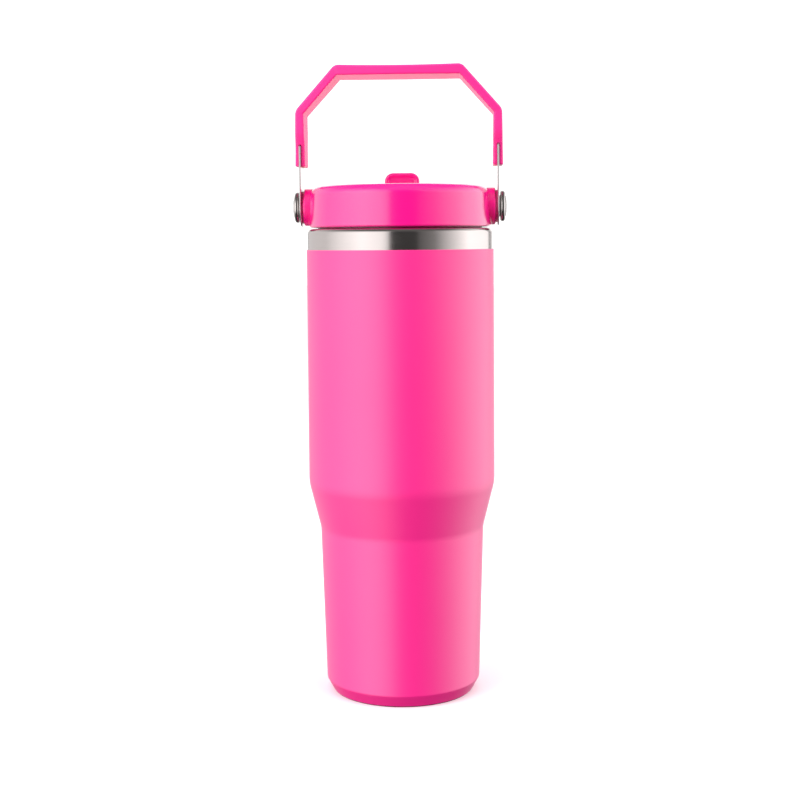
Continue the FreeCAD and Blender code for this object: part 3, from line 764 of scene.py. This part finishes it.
def make_lid():
    """Drum of the lid with its well, cavity and the two pivot bosses."""
    seat = lid_bottom + plug_flange
    inner = lid_top_radius - lid_wall
    drum = [(0, seat, 0), (inner, seat, 0), (inner, lid_bottom, 0.3), (lid_radius, lid_bottom, 1.0),
            (lid_top_radius, lid_top, 4.6), (0, lid_top, 0)]
    lid = lathe("lid_body", drum, LID_PINK, 10, closed=False, segments=256)
    combine(lid, lid_cavity(seat, inner), "DIFFERENCE")
    boss = oblong(0, boss_radius, pad_inner + 2, boss_end, 0, 0, 0.7, 0)
    for sign in SIDES.values():
        knob = lathe("boss", boss, LID_PINK, 6, False, 128, "X")
        combine(lid, on_side(knob, sign), "UNION")
    combine(lid, well_tool(), "DIFFERENCE")
    finish(lid, LID_PINK, "lid", ["lid_shell"])


def lid_cavity(seat, inner):
    """The hollow above the plug's flange, less the well's walls and the pads behind the bosses."""
    floor_skin, past, behind = 0.6, 5, 60
    hollow = rod("hollow", inner, seat + floor_skin, lid_top - lid_wall, LID_PINK, 192)
    side = well_half + well_wall
    walls = box("well_box", (-side, well_front - well_wall, seat - past), (side, behind, lid_top + past))
    combine(hollow, walls, "DIFFERENCE")
    for sign in SIDES.values():
        pad = rod("pad", pad_radius, pad_inner, lid_radius + 2, LID_PINK, 48, "X")
        combine(hollow, on_side(pad, sign), "DIFFERENCE")
    return hollow


def well_tool():
    """Space of the spout: rounded walls that flare at the lid's top, and the barrel's round pocket."""
    middle = (well_front + well_back) / 2
    half_length = (well_back - well_front) / 2
    levels = [(well_floor, 0.0)]
    for sine, cosine in quarter(6):
        levels.append((lid_top - well_flare + well_flare * sine, well_flare * (1 - cosine)))
    levels.append((lid_top + 2, well_flare + 0.01))
    rings = []
    for height, flare in levels:
        ring = round_rect(well_half, -half_length, half_length, 1.5, 1.5, -flare, 8)
        rings.append([(x, y + middle, height) for x, y in ring])
    tool = loft("well", rings)
    pocket = rod("pocket", barrel_radius + barrel_gap, -well_half, well_half, LID_PINK, 96, "X")
    return combine(tool, to_spout_axis(pocket), "UNION")


def to_spout_axis(piece):
    """Lifts a piece from the handle's pivot to the spout's."""
    return shifted(piece, 0, spout_z - pivot_z)


def shifted(piece, back, up):
    """Moves a piece's mesh along Y and Z."""
    piece.data.transform(Matrix.Translation((0, back * MM, up * MM)))
    return piece


def make_plug():
    """Threaded insert: flange, neck, floor and straw socket, turned as one outline, and its thread."""
    foot, seat = plug_low.z, plug_high.z
    radius, wall, bore, port = 39.4, 2.0, 5.6, 3.0
    floor = foot + 2.0
    socket_radius, socket_top = bore + 1.6, foot + 14.5
    flange_edge = lid_top_radius - lid_wall - 0.2
    outline = [(bore, foot, 0.2), (radius, foot, 1.2), (radius, lid_bottom, 0.1),
               (flange_edge, lid_bottom, 0.3), (flange_edge, seat, 0.1), (radius - wall, seat, 0),
               (radius - wall, floor, 1.0), (socket_radius, floor, 0.6), (socket_radius, seat, 0),
               (port, seat, 0), (port, socket_top, 0), (bore, socket_top, 0)]
    plug = lathe("lid_plug_body", outline, PLUG_PINK, 6)
    finish(plug, PLUG_PINK, "lid", ["lid_plug"])
    ridges = thread("plug_thread", PLUG_PINK, radius - 0.2, depth=1.5, turn=170.0, above_plug=2.6)
    finish(ridges, PLUG_PINK, "lid")


def make_gasket():
    """Two-lipped silicone ring."""
    outer, inner = gasket_high.x, 39.5
    low, high = gasket_low.z, gasket_high.z
    middle = (low + high) / 2
    waist = (outer - inner) / 3
    outline = [(inner, low, 0.1), (outer, low, 0.3), (outer, middle - waist, 0.25),
               (outer - waist, middle, 0.2), (outer, middle + waist, 0.25), (outer, high, 0.3),
               (inner, high, 0.1)]
    ring = lathe("lid_gasket_ring", outline, SILICONE)
    finish(ring, SILICONE, "lid_seal", ["lid_gasket"])


def make_small_lid_parts():
    """Grommet, vent valve, spout seal and spout pins."""
    low, high = cad("straw_grommet")
    bore = straw_high.x + 0.1
    outline = oblong(bore, high.x, low.z, high.z, 0.3, 0.3, 0.2, 0.2)
    grommet = lathe("straw_grommet_sleeve", outline, SILICONE, segments=96)
    finish(grommet, SILICONE, "lid", ["straw_grommet"])
    low, high = cad("vent_valve")
    floor = plug_low.z
    cap, cap_edge, stem, bulb = (high.x - low.x) / 2, 0.35, 1.5, 2.1
    catch = floor + 2.0
    outline = [(0, low.z, 0), (cap * 0.6, low.z, 1.5), (cap, floor - cap_edge, 0.12), (cap, floor, 0.12),
               (stem, floor, 0), (stem, catch, 0), (bulb, catch, 0.2), (bulb, catch + 0.6, 0.6),
               (stem * 0.6, high.z, 0.4), (0, high.z, 0)]
    valve = lathe("vent_valve_umbrella", outline, SILICONE, closed=False, segments=64)
    finish(shifted(valve, (low.y + high.y) / 2, 0), SILICONE, "lid", ["vent_valve"])
    seal = add_object("spout_seal_puck", frame["nodes"]["spout_seal"].data.copy())
    turn_outward(seal)
    finish(seal, SILICONE, "lid", ["spout_seal"])
    high = cad("spout_pins")[1]
    length, chamfer = high.x - 5.2, 0.2
    pins = cross_pins("spout_pin_pair", RIVET_STEEL, high.y, length, high, spout_z, chamfer, 1)
    finish(pins, RIVET_STEEL, "lid", ["spout_pins"])


def cross_pins(name, material, radius, length, corner, height, chamfer, rows):
    """Round pins along X on both sides, in rows along Y, that reach out to corner's x and y."""
    sizes = {"Radius": radius, "Length": length, "Spread_X": 2 * corner.x - length,
             "Spread_Y": 2 * corner.y - 2 * radius, "Height": height, "Chamfer": chamfer}
    return grow(PINS, name, material, sizes, Rows=rows)


# ---------------------------------------------------------------- straw and spout
def make_straw():
    """Thin-walled tube with rounded ends."""
    wall, soft, outer = 0.8, 0.3, straw_high.x
    outline = oblong(outer - wall, outer, straw_low.z, straw_high.z, soft, soft, soft, soft)
    tube = lathe("straw_tube", outline, STRAW_CLEAR, segments=96)
    finish(tube, STRAW_CLEAR, "straw", ["straw"])


def along_y(stations, half_width, low, high, low_round, high_round):
    """Rings in XZ planes, one for each (y, shrink) station."""
    rings = []
    for y, shrink in stations:
        ring = round_rect(half_width, low, high, low_round, high_round, shrink)
        rings.append([(x, y, z) for x, z in ring])
    return rings


def make_spout():
    """Cross barrel, rounded mouthpiece and finger tab in one, with the drinking channel cut through."""
    half, soft, bore, past = spout_high.x, 0.9, 3.0, 60
    body_half, body_low, body_height, body_round = 7.0, spout_z - 5.5, 11.0, 3.8
    tip, tip_round, steps = spout_high.y, 1.6, 5
    stations = [(0.0, 0.0)] + edge_stations(0.0, tip, tip_round, steps)[steps + 1:]
    body = along_y(stations, body_half, body_low, body_low + body_height, body_round, body_round)
    mouthpiece = loft("mouthpiece", body)
    barrel = oblong(0, barrel_radius, -half, half, 0, soft, soft, 0)
    spout = to_spout_axis(lathe("spout_body", barrel, SPOUT_PINK, 6, False, 128, "X"))
    combine(spout, mouthpiece, "UNION")
    combine(spout, finger_tab(tip), "UNION")
    channel = rod("channel", bore, -past, past, SPOUT_PINK, 48)
    lay_down = Matrix.Translation((0, 0, spout_z * MM)) @ Matrix.Rotation(math.pi / 2, 4, "X")
    channel.data.transform(lay_down)
    combine(spout, channel, "DIFFERENCE")
    finish(spout, SPOUT_PINK, "spout", ["spout"])


def finger_tab(tip):
    """Upright tab with soft edges and a shallow scoop in its front face."""
    half, thickness, soft, foot_round, corner = spout_high.x, 4.4, 0.9, 1.0, 4.2
    back = tip - 2.0
    front = back - thickness
    low, scoop_low, high = spout_z + 3.5, spout_z + 5.9, spout_high.z
    rings = along_y(edge_stations(back, front, soft, 5), half, low, high, foot_round, corner)
    # The scoop's rings: depth behind the front face, border round it and rise of its lower edge.
    for depth, border, rise in ((0.0, 1.3, 0.0), (0.15, 1.7, 0.1), (0.49, 2.1, 0.3), (0.7, 2.7, 0.8)):
        ring = round_rect(half, low, high, foot_round, corner, border)
        rings.append([(x, front + depth, max(z, scoop_low + rise)) for x, z in ring])
    return loft("finger_tab", rings)


# ---------------------------------------------------------------- handle pivots
shank_radius = 3.0


def rivet_outline():
    """Button rivet: shank, short collar and a domed head with a fine ring groove."""
    end, soft = rivet_high.x, 0.95
    start = strap_high.x + 0.05
    under = start + 0.5
    rim = under + 2.0
    collar, head, dome = 5.2, rivet_high.z - pivot_z, end - rim
    ball = (head ** 2 + dome ** 2) / (2 * dome)
    groove, half_groove, deep = 5.3, 0.45, 0.4
    outside, inside = groove + half_groove, groove - half_groove

    def on_dome(radius):
        return end - radius ** 2 / (2 * ball)

    bottom = on_dome(groove) - deep
    outline = [(0, rivet_low.x, 0), (shank_radius, rivet_low.x, 0.3), (shank_radius, start, 0),
               (collar, start, 0.1), (collar, under, 0.15), (head, under, soft),
               (head, rim + 0.05, soft), (outside, on_dome(outside), 0.15),
               (groove + half_groove * 0.6, bottom, 0.1), (groove - half_groove * 0.6, bottom, 0.1),
               (inside, on_dome(inside), 0.12)]
    return outline + [(radius, on_dome(radius), 0) for radius in (3.6, 2.4, 1.2, 0)]


def make_pivots():
    """On each side: friction washer, button rivet and its retaining ring inside the lid."""
    washer_radius, ring_radius = washer_high.z - pivot_z, retainer_high.z - pivot_z
    washer = oblong(shank_radius, washer_radius, washer_low.x, washer_high.x, 0, 0.3, 0.3, 0)
    ring = oblong(shank_radius, ring_radius, retainer_low.x, retainer_high.x, 0.1, 0.3, 0.1, 0)
    turned = (("pivot_rivet", "button_rivet", rivet_outline(), False, RIVET_STEEL, "rivet_steel", 128),
              ("pivot_washer", "friction_washer", washer, True, WASHER_PINK, "washer_plastic", 128),
              ("pivot_retainer", "retaining_ring", ring, True, RIVET_STEEL, "rivet_steel", 64))
    for side, sign in SIDES.items():
        for node, name, outline, closed, material, slot, segments in turned:
            piece = lathe(f"{name}_{side}", outline, material, 6, closed, segments, "X")
            finish(on_side(piece, sign), material, "lid", [f"{node}_{side}"])


# ---------------------------------------------------------------- handle
leg_bottom = grip_low.z
leg_flare_out = 0.4
leg_flare_in = 0.3
grip_outer = grip_high.x - leg_flare_out
leg_thickness = 4.0
bar_thickness = 4.9
corner_run = 19.0
knee_drop = 21.2
bar_saddle = 0.5


def grip_lines():
    """Matching points along the grip's outer and inner outlines, from leg end to leg end."""
    knee = grip_high.z - knee_drop
    half_top = grip_outer - corner_run
    corners = [(grip_outer, leg_bottom), (grip_outer, knee), (half_top, grip_high.z),
               (-half_top, grip_high.z), (-grip_outer, knee), (-grip_outer, leg_bottom)]
    walls = [leg_thickness, leg_thickness, bar_thickness, leg_thickness, leg_thickness, 0]
    outer_rounds = [0, 5.0, 4.0, 4.0, 5.0, 0]
    inner_rounds = [0, 1.0, 1.0, 1.0, 1.0, 0]
    outer = flared_outline(corners, leg_flare_out, outer_rounds)
    inner = flared_outline(inset(corners, walls), -leg_flare_in, inner_rounds)
    longest = 2.2
    pairs = [(outer[0], inner[0])]
    for i in range(1, len(outer)):
        pieces = max(1, math.ceil((outer[i] - outer[i - 1]).length / longest))
        for k in range(1, pieces + 1):
            share = k / pieces
            pairs.append((outer[i - 1].lerp(outer[i], share), inner[i - 1].lerp(inner[i], share)))
    reach = half_top - 2.0
    for top, _ in pairs:
        if abs(top.x) < reach and top.y > grip_high.z - 1:
            top.y -= bar_saddle * (1 - (top.x / reach) ** 2)
    return pairs


def flared_outline(points, flare, rounds):
    """The arch's rounded outline with its two leg ends moved outwards by flare."""
    (right, right_z), (left, left_z) = points[0], points[-1]
    flared = [(right + flare, right_z)] + points[1:-1] + [(left - flare, left_z)]
    return rounded([(*point, soft) for point, soft in zip(flared, rounds)], 10, closed=False)


def grip_half_depth(x, z):
    """Half width of the grip along Y: widest over the bar's centre and narrowest at the leg ends."""
    ends, centre, leg_end = 9.6, grip_high.y, 7.6
    narrow_below, widening = 27.0, 9.0
    bow = centre - (centre - ends) * (x / (grip_outer + 1)) ** 2
    climb = min(max((z - pivot_z - narrow_below) / widening, 0.0), 1.0)
    climb = climb * climb * (3 - 2 * climb)
    return leg_end + (bow - leg_end) * climb


def make_grip():
    """Moulded arch swept along its outline with softened edges, and the two slots for the straps."""
    pairs = grip_lines()
    rings = []
    end_round = 0.6
    for i, (top, below) in enumerate(pairs):
        half_depth = grip_half_depth(top.x, (top.y + below.y) / 2)
        if 0 < i < len(pairs) - 1:
            rings.append(grip_ring(top, below, half_depth, 0.0))
            continue
        ends = []
        for sine, cosine in reversed(quarter(3)):
            lift = Vector((0, end_round * (1 - sine)))
            ends.append(grip_ring(top + lift, below + lift, half_depth, end_round * (1 - cosine)))
        rings += ends if i == 0 else ends[::-1]
    grip = loft("grip_arch", rings)
    slot_gap, past = 0.2, 20
    top = strap_high.z + slot_gap
    for sign in SIDES.values():
        low, high = sorted((sign * (strap_low.x - slot_gap), sign * (strap_high.x + slot_gap)))
        combine(grip, box("slot_space", (low, -past, leg_bottom - 1), (high, past, top)), "DIFFERENCE")
    finish(grip, GRIP_PINK, "handle", ["handle_grip"], sharp=40)


def grip_ring(top, below, half_depth, shrink):
    """Rounded section of the grip between its outer point and its inner point."""
    across = top - below
    thick = across.length
    across = across / thick
    outer_round, inner_round = 1.1, 0.8
    ring = []
    for y, out in round_rect(half_depth, 0, thick, inner_round, outer_round, shrink, 5):
        spot = below + across * out
        ring.append((spot.x, y, spot.y))
    return ring


def make_straps():
    """Flat strap on each side, from the round eye at its pivot straight up into the grip."""
    bevel, top_corner, half = 0.38, 1.0, strap_high.y
    for side, sign in SIDES.items():
        rings = []
        for x, shrink in edge_stations(strap_low.x, strap_high.x, bevel, 5):
            ring = round_rect(half, strap_low.z, strap_high.z, half, top_corner, shrink, 24)
            rings.append([(sign * x, y, z) for y, z in ring])
        strap = loft(f"strap_plate_{side}", rings)
        finish(strap, STRAP_STEEL, "handle", [f"strap_{side}"])


def make_grip_pins():
    """Two pins through each leg that hold the straps, made as one piece."""
    low, high = cad("grip_pins")
    radius, chamfer = (high.z - low.z) / 2, 0.15
    middle = low.z + radius
    pins = cross_pins("grip_pin_set", STRAP_STEEL, radius, leg_thickness, high, middle, chamfer, 2)
    finish(pins, STRAP_STEEL, "handle", ["grip_pins"])


def dress_cad_nodes():
    """Materials on the two small nodes whose CAD shape is already what they look like."""
    for node, material in (("getter", getter_alloy()), ("seal_bead", solder())):
        data = frame["nodes"][node].data
        data.materials.clear()
        data.materials.append(material)


# ---------------------------------------------------------------- floor, lights and camera
def make_floor():
    """Pale floor that runs far past the view."""
    reach = 6000
    corners = [(x * reach, y * reach, 0) for x, y in ((-1, -1), (1, -1), (1, 1), (-1, 1))]
    floor = raw_piece("floor", corners, [(0, 1, 2, 3)])
    paper = Finish("floor_paper")
    cloud = paper.noise(paper.place, 3.0, 2.0)
    paper.set("Base Color", paper.blend(cloud, grey(0.90), grey(0.92)))
    paper.set("Roughness", 0.85 + cloud * 0.1)
    floor.data.materials.append(paper.material)
    floor.visible_diffuse = False
    floor.visible_glossy = False
    floor.visible_shadow = False


def add_lamp(name, kind, power):
    """Light that leaves no glint of its own on the steel."""
    light = add_object(name, bpy.data.lights.new(name, kind))
    light.data.energy = power
    light.visible_glossy = False
    return light


def make_light(name, azimuth, elevation, distance, size, power):
    """Soft square light aimed at the object's middle. Azimuth 0 is the camera's side, + is right."""
    light = add_lamp(name, "AREA", power)
    light.data.shape = "SQUARE"
    light.data.size = size
    side, rise = math.radians(azimuth), math.radians(elevation)
    away = Vector((math.sin(side) * math.cos(rise), -math.cos(side) * math.cos(rise), math.sin(rise)))
    middle = Vector((0, 0, 0.15))
    light.location = middle + away * distance
    light.rotation_euler = away.to_track_quat("Z", "Y").to_euler()


def make_overhead(power, spread):
    """Soft light from straight above that keeps the floor evenly pale to the horizon."""
    add_lamp("overhead", "SUN", power).data.angle = math.radians(spread)


class Sky(Paper):
    """Studio surroundings, bright by bearing round the horizon and even towards ceiling and ground."""

    def __init__(self, ceiling, ground, bearings):
        world = bpy.data.worlds.new("studio")
        world.use_nodes = True
        bpy.context.scene.world = world
        super().__init__(world.node_tree)
        back = world.node_tree.nodes["Background"]
        x, y, z = self.parts(self.node("ShaderNodeTexCoord", out="Object"))
        turn = x.maths("ARCTAN2", x, y * -1) / math.tau + 0.5
        stops = [(bearing / 360 + 0.5, grey(level)) for bearing, level in bearings]
        ring = self.node("ShaderNodeValToRGB", {"stops": stops}, {"Fac": turn})
        over = self.blend(self.fade(z, 2.2, 0.8), ring, grey(ceiling))
        under = self.blend(self.fade(z, -2.4, 0.65), over, grey(ground))
        self.feed(back.inputs["Color"], under)
        back.inputs["Strength"].default_value = 1.0

    def fade(self, height, gain, delay):
        """Share from 0 to 1 that starts where height times gain passes delay."""
        return (height * gain - delay).most(0.0).least(1.0)


def make_world():
    """Pale room with a darker side where the user stands. Bearings are degrees from -Y towards +X."""
    behind_left = [(-180, 1.3), (-161, 1.3), (-158, 0.4), (-150, 0.75), (-100, 0.75)]
    left = [(-75, 1.1), (-45, 1.45), (-20, 1.25), (-13, 1.0), (-9, 0.05)]
    right = [(23, 0.05), (25, 0.12), (45, 0.24), (75, 0.95), (95, 1.5), (125, 1.4)]
    behind_right = [(141, 1.3), (145, 0.35), (153, 0.5), (158, 0.9), (164, 1.3), (180, 1.3)]
    Sky(0.12, 0.03, behind_left + left + right + behind_right)


def make_camera():
    """Long lens a little right of the middle, near the lid's height, tipped down and rolled slightly."""
    data = bpy.data.cameras.new("camera")
    data.sensor_width = 36.0
    data.lens = 63.35
    data.shift_x = -0.0010
    data.shift_y = -0.094
    data.clip_start = 0.01
    data.clip_end = 100.0
    camera = add_object("camera", data)
    azimuth, pitch, roll = math.radians(2.5), math.radians(3.5), math.radians(-0.44)
    distance, eye = 0.680, 0.2187
    camera.location = (distance * math.sin(azimuth), -distance * math.cos(azimuth), eye)
    look = Matrix.Rotation(azimuth, 4, "Z") @ Matrix.Rotation(math.pi / 2 - pitch, 4, "X")
    camera.rotation_euler = (look @ Matrix.Rotation(roll, 4, "Z")).to_euler()
    bpy.context.scene.camera = camera


for make in (make_coat, make_shell, make_liner, make_base, make_lid, make_plug, make_gasket,
             make_small_lid_parts, make_straw, make_spout, make_pivots, make_grip, make_straps,
             make_grip_pins, dress_cad_nodes, make_floor, make_world):
    make()
make_overhead(power=2.3, spread=100)
# Each light's azimuth and elevation in degrees, distance and size in metres, and power in watts.
make_light("left_fill", -55, 35, 1.8, 1.4, 22)
make_light("right_fill", 55, 30, 1.8, 1.4, 20)
make_light("floor_bounce", -40, -35, 1.4, 1.2, 8)
make_light("back_bounce", 180, -50, 1.4, 1.2, 14)
make_camera()
bpy.context.scene.view_settings.view_transform = "Standard"
